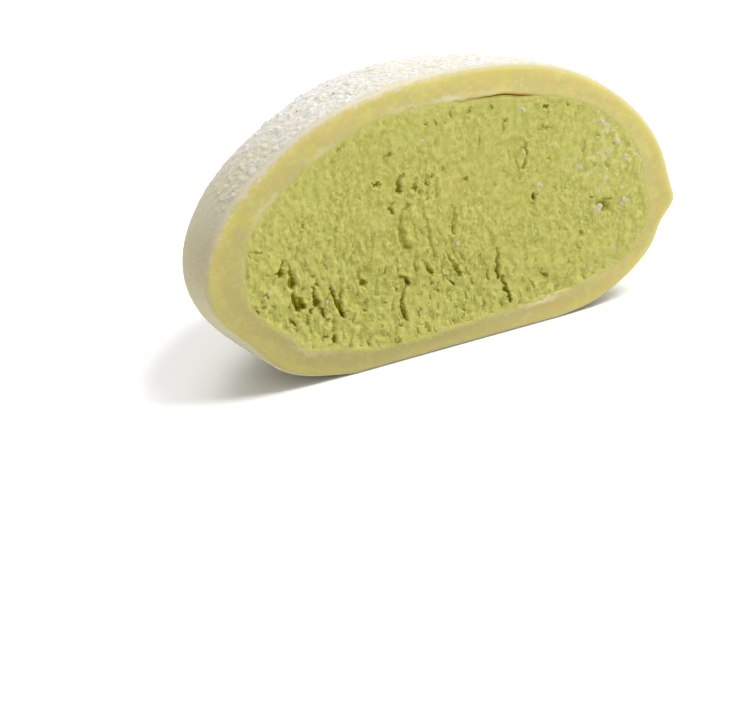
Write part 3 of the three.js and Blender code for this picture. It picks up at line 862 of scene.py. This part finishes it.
# %% Tears
TEARS = [
    # The torn corner at the lower left.
    (0.4, 0.6, (-16.6, 13.7), (-16.85, 13.0)), (0.7, 1.0, (-16.9, 12.9), (-17.15, 12.2)),
    (0.5, 0.6, (-16.15, 13.2), (-16.05, 12.0)),
    (0.75, 1.0, (-16.05, 12.2), (-16.0, 11.4), (-15.95, 10.8)),
    (0.65, 1.1, (-16.15, 10.0), (-16.05, 9.3), (-15.75, 8.3)),
    (0.5, 1.0, (-15.75, 9.6), (-15.45, 8.9), (-15.2, 8.4)),
    (0.45, 0.75, (-16.7, 7.6), (-16.5, 7.1), (-16.3, 6.7)), (0.3, 0.4, (-14.6, 7.6), (-15.0, 7.1)),
    (0.5, 0.3, (-14.7, 6.8), (-14.7, 5.4)), (0.6, 0.9, (-14.0, 10.1), (-13.95, 9.2), (-13.75, 8.2)),
    (0.35, 0.7, (-13.8, 8.1), (-14.5, 7.7)), (0.4, 0.8, (-13.5, 8.0), (-13.15, 6.9)),
    (0.4, 0.4, (-13.8, 11.5), (-13.7, 11.1)), (0.45, 0.5, (-13.6, 10.7), (-13.5, 10.2)),
    (0.5, 0.9, (-12.1, 9.5), (-11.95, 8.6), (-11.6, 7.5), (-11.2, 6.3)),
    (0.5, 0.5, (-11.0, 10.0), (-11.1, 8.8), (-11.4, 7.4)),
    (0.4, 0.6, (-20.55, 9.9), (-20.3, 9.4), (-20.0, 8.9)), (0.3, 0.4, (-19.5, 9.6), (-19.2, 9.3)),
    (0.3, 0.45, (-19.3, 11.1), (-19.0, 10.6), (-18.75, 10.2)), (0.4, 0.7, (-12.2, 4.6), (-12.4, 4.0)),
    (0.3, 0.3, (-11.6, 4.4), (-11.4, 4.1)), (0.4, 0.35, (-12.9, 12.6), (-12.7, 12.2)),
    (0.4, 0.35, (-12.6, 12.0), (-12.4, 11.7)), (0.25, 0.3, (-17.9, 7.0), (-17.6, 6.5)),
    # Along the bottom.
    (0.5, 0.7, (-9.2, 9.8), (-8.9, 9.3), (-8.6, 8.9)), (0.6, 0.3, (-8.8, 11.8), (-8.2, 10.2)),
    (0.25, 0.25, (-6.0, 11.2), (-5.95, 10.5)), (0.35, 0.45, (-6.2, 10.1), (-6.4, 9.5)),
    (0.4, 0.5, (-5.7, 8.2), (-5.35, 7.3)), (0.5, 0.8, (-4.9, 8.8), (-4.2, 8.4), (-4.1, 7.7)),
    (0.42, 0.65, (-4.2, 7.8), (-4.8, 6.8), (-5.05, 5.8), (-4.9, 5.0), (-4.75, 4.3)),
    (0.3, 0.4, (-5.7, 4.0), (-6.1, 3.2), (-6.2, 2.4)), (0.3, 0.25, (-3.9, 3.5), (-3.0, 3.2)),
    (0.4, 0.4, (-2.9, 11.0), (-2.9, 10.3), (-3.3, 9.7), (-3.1, 9.1)),
    (0.5, 0.65, (-2.1, 9.6), (-1.8, 8.9), (-1.6, 8.3)), (0.3, 0.35, (-2.3, 3.0), (-2.5, 2.4)),
    (0.4, 0.4, (-1.2, 10.9), (-0.95, 9.8)), (0.4, 0.45, (-1.05, 7.1), (-1.15, 6.3)),
    (0.35, 0.5, (-0.5, 8.1), (0.05, 7.4), (0.6, 6.5)),
    (0.45, 0.55, (0.4, 9.6), (0.7, 9.0), (1.1, 8.2), (1.5, 7.2)), (0.35, 0.4, (1.6, 9.8), (2.0, 8.7)),
    (0.3, 0.35, (2.4, 7.2), (2.8, 6.0)), (0.35, 0.5, (4.3, 7.7), (4.35, 6.0)),
    (0.38, 0.65, (5.7, 8.9), (5.55, 7.6), (5.5, 6.0)), (0.42, 0.85, (5.85, 5.9), (6.1, 4.8), (6.5, 3.3)),
    (0.3, 0.3, (8.8, 7.6), (8.5, 7.0)), (0.35, 0.5, (10.1, 5.8), (10.2, 5.2), (10.6, 4.6)),
    (0.25, 0.25, (11.7, 4.2), (12.0, 3.2)), (0.3, 0.25, (12.0, 10.2), (12.6, 9.0)),
    (0.3, 0.35, (14.8, 9.2), (14.9, 8.0)), (0.4, 0.3, (14.2, 7.3), (14.4, 6.8)),
    (0.35, 0.25, (12.7, 12.8), (12.9, 11.9)), (0.35, 0.2, (16.7, 7.0), (16.8, 6.4)),
    (0.35, 0.25, (19.0, 6.3), (19.3, 5.5)),
    # A long curved ledge left of the middle, and its neighbours.
    (0.8, 0.48, (-3.2, 15.8), (-3.75, 15.3), (-4.1, 14.5), (-4.25, 13.3), (-4.2, 12.2), (-3.6, 11.4)),
    (0.55, 0.42, (-1.6, 14.4), (-1.4, 13.6), (-1.35, 12.4), (-1.2, 10.9)),
    (0.5, 0.5, (1.45, 14.4), (1.65, 13.6), (1.4, 12.8), (1.2, 11.9)),
    (0.5, 0.3, (-3.0, 14.3), (-2.9, 13.2), (-2.7, 12.2)),
    # The upper left.
    (0.35, 0.45, (-14.4, 17.0), (-14.25, 16.3)), (0.4, 0.2, (-14.5, 16.0), (-14.6, 15.2)),
    (0.35, 0.25, (-18.9, 16.9), (-18.2, 16.1)), (0.35, 0.4, (-19.9, 15.4), (-19.3, 15.0), (-18.7, 14.8)),
    (0.3, 0.25, (-19.7, 14.8), (-19.4, 14.2)), (0.5, 0.3, (-10.5, 22.3), (-10.5, 22.0)),
    (0.3, 0.25, (-10.0, 22.9), (-9.2, 23.5)), (0.3, 0.25, (-7.9, 21.3), (-7.8, 21.1)),
    (0.35, 0.3, (-10.6, 18.9), (-9.9, 18.4)), (0.2, 0.25, (-8.8, 18.4), (-7.9, 17.5)),
    (0.3, 0.25, (-11.0, 16.9), (-10.6, 16.4)), (0.35, 0.15, (-9.25, 16.0), (-9.0, 13.8), (-8.6, 12.8)),
    # The upper middle.
    (0.5, 0.65, (-6.6, 18.9), (-6.1, 18.6)), (0.6, 0.7, (-3.5, 19.0), (-3.85, 18.3), (-3.95, 17.4)),
    (0.4, 0.4, (-5.1, 21.1), (-4.3, 21.4)), (0.3, 0.2, (-3.3, 19.6), (-2.8, 19.3)),
    (0.3, 0.2, (-1.5, 19.7), (-1.6, 18.8)), (0.6, 0.55, (-2.0, 18.1), (-2.2, 17.2)),
    (0.5, 0.42, (-1.6, 17.3), (-1.75, 16.7)), (0.5, 0.45, (-0.85, 18.1), (-0.95, 17.5)),
    (0.4, 0.4, (-0.4, 18.3), (-0.35, 17.8)), (0.5, 0.35, (-1.0, 16.8), (-1.1, 15.8)),
    (0.5, 0.3, (0.1, 17.0), (0.0, 15.9)), (0.3, 0.35, (0.7, 18.6), (0.9, 18.4)),
    (0.4, 0.45, (2.9, 17.0), (3.1, 16.8)), (0.3, 0.25, (-5.8, 17.4), (-5.7, 17.2)),
    (0.35, 0.4, (-5.4, 16.5), (-4.7, 16.4)), (0.4, 0.6, (-5.0, 16.4), (-4.9, 15.4)),
    (0.4, 0.35, (-0.4, 23.7), (-0.3, 23.5)), (0.35, 0.35, (0.6, 23.5), (0.7, 23.3)),
    (0.3, 0.35, (2.5, 24.3), (2.25, 23.5)), (0.3, 0.35, (4.6, 24.0), (4.2, 23.3)),
    (0.35, 0.2, (-1.8, 21.5), (-1.3, 20.8)), (0.3, 0.2, (-0.4, 21.4), (-0.3, 21.2)),
    (0.25, 0.25, (5.0, 21.1), (4.95, 19.9)),
    # The upper right.
    (0.25, 0.3, (7.8, 21.5), (7.7, 20.9)), (0.3, 0.5, (12.35, 22.2), (12.45, 22.05)),
    (0.2, 0.3, (12.5, 22.0), (12.6, 21.5)), (0.3, 0.3, (14.9, 21.9), (14.9, 21.6)),
    (0.6, 0.4, (11.3, 20.0), (11.9, 19.95), (12.4, 19.85)),
    (0.35, 0.5, (9.7, 19.4), (9.85, 18.8), (9.8, 17.9)),
    (0.4, 0.5, (9.8, 17.8), (9.7, 17.2), (9.4, 16.5)), (0.4, 0.25, (8.6, 18.8), (8.5, 17.8), (8.8, 16.8)),
    (0.35, 0.3, (10.7, 16.0), (10.6, 15.7)), (0.5, 0.8, (10.4, 13.6), (10.2, 13.2)),
    (0.3, 0.35, (10.1, 13.1), (9.9, 12.6)), (0.3, 0.3, (14.1, 14.0), (13.6, 13.1)),
    (0.3, 0.25, (12.4, 14.2), (12.6, 13.2)), (0.3, 0.3, (16.3, 17.6), (15.95, 16.6)),
    (0.3, 0.3, (16.8, 15.4), (16.95, 14.6)), (0.35, 0.3, (18.2, 15.0), (18.4, 14.2)),
    (0.3, 0.4, (21.8, 15.8), (21.75, 14.9)), (0.22, 0.25, (22.0, 13.9), (22.0, 12.9)),
    (0.3, 0.2, (21.8, 9.4), (21.75, 8.4)),
    # The hole round the largest pale crumb.
    (1.2, 0.55, (16.9, 10.8), (17.6, 10.2)), (0.4, 0.45, (16.9, 11.0), (17.6, 11.0), (18.4, 10.9)),
]
DENTS = [  # (x, z, width, depth)
    (-19.1, 12.4, 0.4, 0.2), (-11.0, 3.2, 0.3, 0.4), (-11.8, 12.8, 0.3, 0.3), (-10.4, 12.8, 0.3, 0.2),
    (-2.3, 10.0, 0.3, 0.35), (16.3, 11.8, 0.4, 0.35), (15.8, 10.6, 0.3, 0.3), (-13.75, 16.0, 0.3, 0.25),
    (-16.4, 16.9, 0.35, 0.2), (-14.1, 21.6, 0.4, 0.2), (-9.2, 19.1, 0.25, 0.25),
    (-9.25, 17.4, 0.3, 0.2), (-11.8, 14.4, 0.35, 0.35), (-13.25, 13.9, 0.3, 0.25),
    (-3.7, 20.4, 0.3, 0.2), (-3.1, 14.8, 0.3, 0.2), (1.6, 23.3, 0.3, 0.3), (0.4, 21.5, 0.3, 0.2),
    (6.8, 23.7, 0.35, 0.4), (8.0, 21.9, 0.4, 0.45), (13.2, 22.5, 0.3, 0.2), (16.2, 21.2, 0.3, 0.25),
    (12.2, 16.9, 0.4, 0.35), (7.25, 16.8, 0.3, 0.2), (6.3, 15.7, 0.3, 0.2), (6.75, 13.3, 0.3, 0.2),
    (5.0, 14.9, 0.3, 0.2), (18.4, 15.7, 0.35, 0.35), (19.2, 16.6, 0.35, 0.3), (17.8, 17.9, 0.35, 0.3),
    (22.0, 11.3, 0.25, 0.2), (19.3, 11.9, 0.3, 0.2), (19.2, 10.4, 0.3, 0.3),
]
DENT_LENGTH = 0.2

# %% Waves and pits
PITS = 1100
PIT_LENGTH = (0.25, 1.1)  # millimetres, shortest and longest
PIT_WIDTH = (0.22, 0.42)
PIT_DEPTH = (0.03, 0.42)  # at the smooth upper right and at the torn lower left
SMALL_PIT = 0.4  # depth of the smallest, next to 1 for the largest
PIT_LEAN = 50  # degrees between the two pits that lean farthest apart
# Each number of a pit goes its own way through the fractions from 0 to 1, as (start, step).
SEQUENCES = ((0.5, 0.7548776662), (0.5, 0.5698402910), (0, 0.6180339887), (0, 0.4142135), (0, 0.7320508))


def torn(x, z):
    """How torn the filling is: 1 at the lower left, 0 at the upper right."""
    return smoothstep(-x / (2 * BODY["half_width"]) - (z - BODY["height"]) / BODY["rise"], -0.75, 0.6)


def ripples(x, z, wavelength, seed):
    """Irregular smooth waves of height about 1, from a dozen straight ones in random directions."""
    dice = np.random.default_rng(seed)
    waves = np.zeros_like(x)
    for _ in range(12):
        heading, phase = dice.uniform(0, 2 * math.pi, 2)
        number = 2 * math.pi / (wavelength * dice.uniform(0.7, 1.4))
        waves += np.sin(number * (x * math.cos(heading) + z * math.sin(heading)) + phase)
    return waves / math.sqrt(6)


def between(ends, share):
    """A number this share of the way from one end to the other."""
    return ends[0] + (ends[1] - ends[0]) * share


def scattered_pits():
    """Small pits by a low-discrepancy sequence, each a short stroke."""
    pits = []
    for number in range(1, PITS + 1):
        aside, upwards, size, broad, lean = [(start + number * step) % 1 for start, step in SEQUENCES]
        x = 2 * BODY["half_width"] * (aside - 0.5)
        z = (BODY["height"] + BODY["rise"]) * upwards
        depth = between(PIT_DEPTH, torn(x, z)) * between((SMALL_PIT, 1), size)
        half_length = between(PIT_LENGTH, size**2) / 2
        lean = math.radians(PIT_LEAN * (lean - 0.45))
        off_x, off_z = half_length * math.sin(lean), half_length * math.cos(lean)
        pits.append((between(PIT_WIDTH, broad), depth, (x - off_x, z + off_z), (x + off_x, z - off_z)))
    return pits


# %% Depth of the hollows
FRAY = ((0.8, 0.065, 0.08), (0.4, 0.035, 0.04))  # outline: (wavelength, sway aside, sway upwards)
HALF_WIDTH = (0.3, 0.5)  # of a stroke at its start and at its end, in widths
SHORT_AND_LONG = (1.5, 4.5)  # lengths of strokes, in millimetres
START_DEPTH = (0.3, 0.65)  # of a short and of a long one, next to 1 at its end
FILLED_UP = (0.74, 1.25)  # factor and power by which crumbs leave a stroke shallower
STEEPNESS = 2.3  # of its walls
LIP = (0.12, 1.8, 0.6)  # its height in depths, and its place and spread in half widths


def along_stroke(x, z, points):
    """Distance from each place to a broken line, and how far along the line the nearest point is."""
    steps = [math.dist(start, end) for start, end in zip(points, points[1:])]
    nearest = np.full_like(x, np.inf)
    share = np.zeros_like(x)
    done = 0.0
    for (start_x, start_z), (end_x, end_z), step in zip(points, points[1:], steps):
        way_x, way_z = (end_x - start_x) / step, (end_z - start_z) / step
        along = np.clip((x - start_x) * way_x + (z - start_z) * way_z, 0, step)
        away = np.hypot(x - start_x - along * way_x, z - start_z - along * way_z)
        closer = away < nearest
        nearest = np.where(closer, away, nearest)
        share = np.where(closer, (done + along) / sum(steps), share)
        done += step
    return nearest, share


def hollow_depth(x, z):
    """Depth of the tears and pits at places on the cut, and the height of the lips round them."""
    wavy_x, wavy_z = x, z
    for number, (wavelength, aside, upwards) in enumerate(FRAY):
        wavy_x = wavy_x + aside * ripples(x, z, wavelength, 1 + number)
        wavy_z = wavy_z + upwards * ripples(x, z, wavelength, 3 + number)
    depth = np.zeros_like(x)
    lip = np.zeros_like(x)
    dents = [(width, deep, (x, z), (x, z - DENT_LENGTH)) for x, z, width, deep in DENTS]
    for width, deep, *points in [*TEARS, *dents, *scattered_pits()]:
        (low_x, low_z), (high_x, high_z) = np.min(points, 0) - 1.0, np.max(points, 0) + 1.0
        near = (x > low_x) & (x < high_x) & (z > low_z) & (z < high_z)
        away, share = along_stroke(wavy_x[near], wavy_z[near], points)
        length = sum(math.dist(start, end) for start, end in zip(points, points[1:]))
        start = between(START_DEPTH, smoothstep(length, *SHORT_AND_LONG))
        away = away / (width * between(HALF_WIDTH, share))
        full = FILLED_UP[0] * deep ** FILLED_UP[1] * between((start, 1), share)
        depth[near] = np.maximum(depth[near], full * np.exp(-(away**STEEPNESS)))
        lip[near] = np.maximum(lip[near], LIP[0] * deep * bump(away - LIP[1], LIP[2]))
    return depth, lip


# %% [markdown]
# ## The filling's mesh
# The filling's rings run over its hidden back, which follows the wall of the dough, and then in across
# the cut face to its middle. Waves that fall off steeply on one side give the shingled look of paste
# that a blade pulled down.

# %% Filling mesh
FACE_RINGS = 215
BACK_RINGS = 14


def filling_outwards(angles):
    """How far the filling's edge lies outside the smooth line between it and the dough."""
    return seam(angles) + lap(angles) - CRACK_WIDTH * crack_share(angles)


def scales(x, z, wavelength, seed):
    """Waves drawn out downwards that fall off steeply on their lower side, as torn scales do."""
    waves = ripples(x, 0.55 * z, wavelength, seed)
    return ripples(x, 0.55 * z - 0.08 * wavelength * waves, wavelength, seed)


def face_rings():
    """Rings across the cut face from its edge to its middle, and how far each point is from the edge."""
    rings, from_edge = [], []
    for ring in range(FACE_RINGS, -1, -1):
        angles = ring_angles(max(1, ring * RING_STEP))
        edge = cut_ring(FILLING, angles, filling_outwards(angles), 0.0)
        inwards = (edge - middle_of(FILLING)) * (1 - ring / FACE_RINGS)
        rings.append(edge - inwards)
        from_edge.append(np.linalg.norm(inwards, axis=1))
    return rings, np.concatenate(from_edge)


def filling_rings():
    """Rings of the filling, and for its points: depth of hollows, tornness, nearness to edge and crack."""
    rings, from_edge = face_rings()
    ends = np.cumsum([len(ring) for ring in rings])[:-1]
    x, _, z = np.concatenate(rings).T
    edge = 1 - smoothstep(from_edge, 0.2, 0.9)
    tornness = torn(x, z)
    hollow, lip = hollow_depth(x, z)
    rolling = 0.07 * np.sin(x / 3.1 + z / 4.7) * np.sin(z / 2.9 - x / 7.3)
    waving = (0.035 * scales(x, z, 1.7, 5) + 0.024 * scales(x, z, 0.8, 6)) * (0.5 + 1.1 * tornness)
    uneven = 0.014 * ripples(x, z, 2.3, 7) + 0.01 * ripples(x, z, 0.7, 8)
    lapping = 0.06 * (1 - smoothstep(from_edge, 0.0, 0.6)) - 0.02
    depth = lapping + uneven * edge + (hollow - lip + rolling + waving) * (1 - 0.95 * edge)
    for ring, ring_depth in zip(rings, np.split(depth, ends)):
        ring[:, 1] = ring_depth
    back = dome_rings(FILLING, BACK_RINGS, -0.1)
    crack = np.concatenate([crack_share(ring_angles(len(ring))) for ring in rings])
    crack = crack * (1 - smoothstep(from_edge, 0.05, 0.25))
    plain = np.zeros(sum(len(ring) for ring in back))
    return back + rings, [np.concatenate([plain, values]) for values in (hollow, tornness, edge, crack)]


rings, (hollow, tornness, edge, crack) = filling_rings()
filling_base = mesh_of_rings(
    "filling_base", rings, hollow=[hollow], torn=[tornness], edge=[edge], crack=[crack]
)

# %% [markdown]
# ## Crumb relief
# Between the tears the paste is never quite smooth. It is grainy everywhere. The blade combed it
# downwards, so it has furrows drawn out in that direction. In the torn corner it breaks into crumbs,
# which a cell pattern makes. Broad smears, where the blade pressed the paste flat, are left smoother.

# %% Crumb relief tree
recipe, given = new_tree(
    "crumb_relief",
    **{
        "Grain size": 0.34 * MM,
        "Grain height": 0.09 * MM,
        "Drag spacing": 0.6 * MM,
        "Drag depth": 0.09 * MM,
        "Crumb size": 0.8 * MM,
        "Crumb height": 0.16 * MM,
    },
)
spot = recipe.add("GeometryNodeInputPosition").outputs[0]
strayed = recipe.stray(spot, 0.9 / MM, 0.4 * MM)
inside = recipe.math("SUBTRACT", 1.0, named(recipe, "edge"))
torn_here = named(recipe, "torn")
smear = recipe.rise(recipe.noise(spot, 0.25 / MM, 2.0), 0.38, 0.6, 0.2, 1.0)
rough = recipe.times(recipe.rise(torn_here, -0.1, 0.9, 0.55, 1.0), smear)
grains = recipe.noise(spot, recipe.per(given["Grain size"]), 2.0, 0.6)
grain_height = recipe.times(recipe.rise(grains, 0.3, 0.7, 1.0, 0.0), given["Grain height"])
combed = recipe.stretch(strayed, (1.0, 1.0, 0.2))
drags = recipe.noise(combed, recipe.per(given["Drag spacing"]), 3.0, 0.6)
drag_depth = recipe.times(recipe.rise(drags, 0.35, 0.68), given["Drag depth"])
cells = recipe.wire(
    recipe.add("ShaderNodeTexVoronoi", feature="SMOOTH_F1"),
    Vector=recipe.stretch(strayed, (1.0, 1.0, 0.7)),
    Scale=recipe.per(given["Crumb size"]),
    Smoothness=0.35,
)
crumb_edge = recipe.rise(cells["Distance"], 0.2, 0.75)
crumb_depth = recipe.times(crumb_edge, given["Crumb height"], recipe.rise(torn_here, 0.35, 0.95))
relief = recipe.times(recipe.total(grain_height, drag_depth, crumb_depth), rough, inside)
inwards = recipe.add("ShaderNodeCombineXYZ", 0.0, relief, 0.0).outputs[0]
stored = keep(recipe, given["Geometry"], "crumb", recipe.math("SUBTRACT", 1.0, drags))
loose = recipe.times(recipe.rise(torn_here, 0.1, 1.0, 0.35, 1.0), inside)
stored = keep(recipe, stored, "loose", loose)
stored = keep(recipe, stored, "rough", rough)
finish_tree(recipe, move(recipe, stored, inwards), filling)

torn_filling = grow("torn_filling", filling_base, recipe)
bpy.data.objects.remove(filling_base)
hand_over(torn_filling, replaced="matcha_filling")

# %% [markdown]
# ## Loose crumbs
# The knife left crumbs of filling on the cut, most of them in the torn corner. Here and there a pale lump
# of starch shows among them, the largest in a hole of its own near the right end. Those few are listed,
# as (x, z, size, depth) in millimetres, each a few flattened balls, stuck together and made uneven
# by noise.

# %% Crumbs
crumb_scatter = scatter_tree("crumb_scatter", "loose", filling, subdivisions=2)
strewn = {"Per square mm": 1.6, "Smallest": 0.12 * MM, "Largest": 0.42 * MM, "Threshold": 0.1, "Seed": 4}
hand_over(grow("filling_crumbs", torn_filling, crumb_scatter, **strewn))

# %% Pale lumps
PALE_LUMPS = [
    (16.95, 10.15, 1.0, 0.144), (16.6, 10.05, 0.6, 0.096), (19.95, 10.3, 0.8, 0.072),
    (19.6, 10.0, 0.5, 0.036), (19.1, 9.3, 0.3, 0.018), (9.95, 22.4, 0.75, 0.048),
    (11.05, 14.15, 0.8, 0.06), (13.0, 18.0, 0.6, 0.048), (18.2, 19.05, 0.8, 0.084),
    (18.6, 18.7, 0.5, 0.036), (18.75, 17.75, 0.5, 0.036), (19.8, 16.4, 0.8, 0.09),
    (18.7, 15.35, 0.7, 0.078), (20.5, 14.8, 0.7, 0.078), (21.75, 14.5, 0.4, 0.024),
    (15.45, 15.0, 0.7, 0.072), (8.2, 6.6, 0.55, 0.054), (10.0, 9.6, 0.4, 0.03),
    (1.6, 10.5, 0.55, 0.078), (9.5, 6.3, 0.35, 0.03), (3.2, 3.3, 0.3, 0.03), (18.4, 5.6, 0.35, 0.03),
    (20.3, 6.3, 0.35, 0.03), (15.4, 4.2, 0.35, 0.03), (1.1, 23.5, 0.3, 0.024), (-1.1, 21.9, 0.7, 0.06),
    (-18.4, 10.6, 0.6, 0.06), (-12.7, 8.3, 0.45, 0.06),
]
KNOBS = ((0.9, 0.7), (0.35, 0.25))  # sizes of a ball's knobs, in its sizes, and how strongly they push
FLATTENED = 0.4  # how much of each ball's depth is pressed flat


def uneven_ball(mesh, place, size):
    """Adds a small uneven ball to a mesh that is being built."""
    at = Matrix.Translation(place)
    made = bmesh.ops.create_icosphere(mesh, subdivisions=3, radius=size / 2, matrix=at)
    for vertex in made["verts"]:
        push = sum(noise.noise(vertex.co / (knob * size)) * height for knob, height in KNOBS)
        vertex.co += (vertex.co - place) * push
        vertex.co.y += (place.y - vertex.co.y) * FLATTENED


def knobbly_lump(mesh, x, z, size, depth, dice):
    """Adds balls of several sizes round one place, more of them in a larger lump."""
    for _ in range(3 + round(5 * size)):
        turn, away, share = dice.uniform((0, 0, 0.3), (2 * math.pi, 0.36, 0.62))
        at = (x + away * size * math.cos(turn), depth, z + away * size * math.sin(turn))
        uneven_ball(mesh, Vector((np.array(at) + FORM_PLACE) * MM), share * size * MM)


lumps = bmesh.new()
lump_dice = np.random.default_rng(21)
for x, z, size, depth in PALE_LUMPS:
    knobbly_lump(lumps, x, z, size, depth, lump_dice)
lump_mesh = bpy.data.meshes.new("pale_lumps")
lumps.to_mesh(lump_mesh)
lumps.free()
lump_mesh.shade_smooth()
pale_lumps = new_object("pale_lumps", lump_mesh)
pale, recipe, shader, place = new_material("pale_lump")
lump_colour = recipe.mix(recipe.noise(place, 3.0, 2.0), srgb(184, 180, 138), srgb(206, 201, 174))
paint(recipe, shader, lump_colour, 0.9, 0.5)
soft_inside(recipe, shader, 0.2, (1.0, 0.9, 0.6), 0.3 * MM)
lump_mesh.materials.append(pale)
hand_over(pale_lumps)
print("pale_lumps has", len(lump_mesh.polygons), "triangles")

# %% [markdown]
# ## Stage, light and camera
# A white floor, an even surround, a large soft lamp from the upper right and a weaker one from behind
# give the gentle, high-key light of a studio table. The camera looks at the cut from the left and above.

# %% Floor
floor_mesh = bpy.data.meshes.new("floor")
half_side = 3.0
corner_signs = ((-1, -1), (1, -1), (1, 1), (-1, 1))
floor_corners = [(half_side * x, half_side * y, 0) for x, y in corner_signs]
floor_mesh.from_pydata(floor_corners, [], [(0, 1, 2, 3)])
floor = new_object("floor", floor_mesh)
floor_paint, recipe, shader, place = new_material("pale_floor")
tone = recipe.mix(recipe.noise(place, 0.004, 1.0), srgb(246, 246, 246), srgb(252, 252, 252))
paint(recipe, shader, tone, 0.35, 0.3)
floor.data.materials.append(floor_paint)

# %% Light
world = bpy.data.worlds.new("bright_room")
world.use_nodes = True
surround = world.node_tree.nodes["Background"]
Recipe(world.node_tree).wire(surround, Color=(1.0, 1.0, 1.0, 1.0), Strength=0.5)
bpy.context.scene.world = world


def soft_lamp(name, place, target, size, watts):
    """A square lamp that shines from a place at a target."""
    data = bpy.data.lights.new(name, "AREA")
    data.size = size
    data.energy = watts
    lamp = new_object(name, data)
    lamp.location = place
    lamp.rotation_euler = (Vector(target) - Vector(place)).to_track_quat("-Z", "Y").to_euler()


middle = (0.0, 0.0, 0.012)
soft_lamp("key", (0.3, -0.2, 0.62), middle, 0.35, 5.1)
soft_lamp("back", (0.1, 0.5, 0.5), middle, 0.4, 2.5)

# %% Camera
AZIMUTH, ELEVATION, ROLL = 21.63, 22.39, 7.01  # degrees: left of the cut, above it, and turned
DISTANCE = 450.0  # millimetres
SCALE = 10.3  # pixels a millimetre at that distance
PICTURE = (730, 720)
AIM_HEIGHT = 13.4  # this point over the middle of the cut ...
AIM_PIXEL = (440, 220)  # ... shows at this pixel

azimuth, elevation, roll = np.radians([AZIMUTH, ELEVATION, ROLL])
back = Vector((-math.sin(azimuth), -math.cos(azimuth), 0)) * math.cos(elevation)
back.z = math.sin(elevation)
level = Vector((math.cos(azimuth), -math.sin(azimuth), 0))
upright = back.cross(level)
right = level * math.cos(roll) - upright * math.sin(roll)
up = level * math.sin(roll) + upright * math.cos(roll)
aside = (AIM_PIXEL[0] - PICTURE[0] / 2) / SCALE
above = (PICTURE[1] / 2 - AIM_PIXEL[1]) / SCALE
aim = Vector((FORM_PLACE[0], FORM_PLACE[1], AIM_HEIGHT))
camera_place = (aim - right * aside - up * above + back * DISTANCE) * MM

camera_data = bpy.data.cameras.new("camera")
camera_data.sensor_width = 36.0
camera_data.lens = SCALE * DISTANCE / PICTURE[0] * camera_data.sensor_width
camera = new_object("camera", camera_data)
camera.matrix_world = Matrix.Translation(camera_place) @ Matrix((right, up, back)).transposed().to_4x4()
bpy.context.scene.camera = camera
bpy.context.scene.view_settings.view_transform = "Standard"
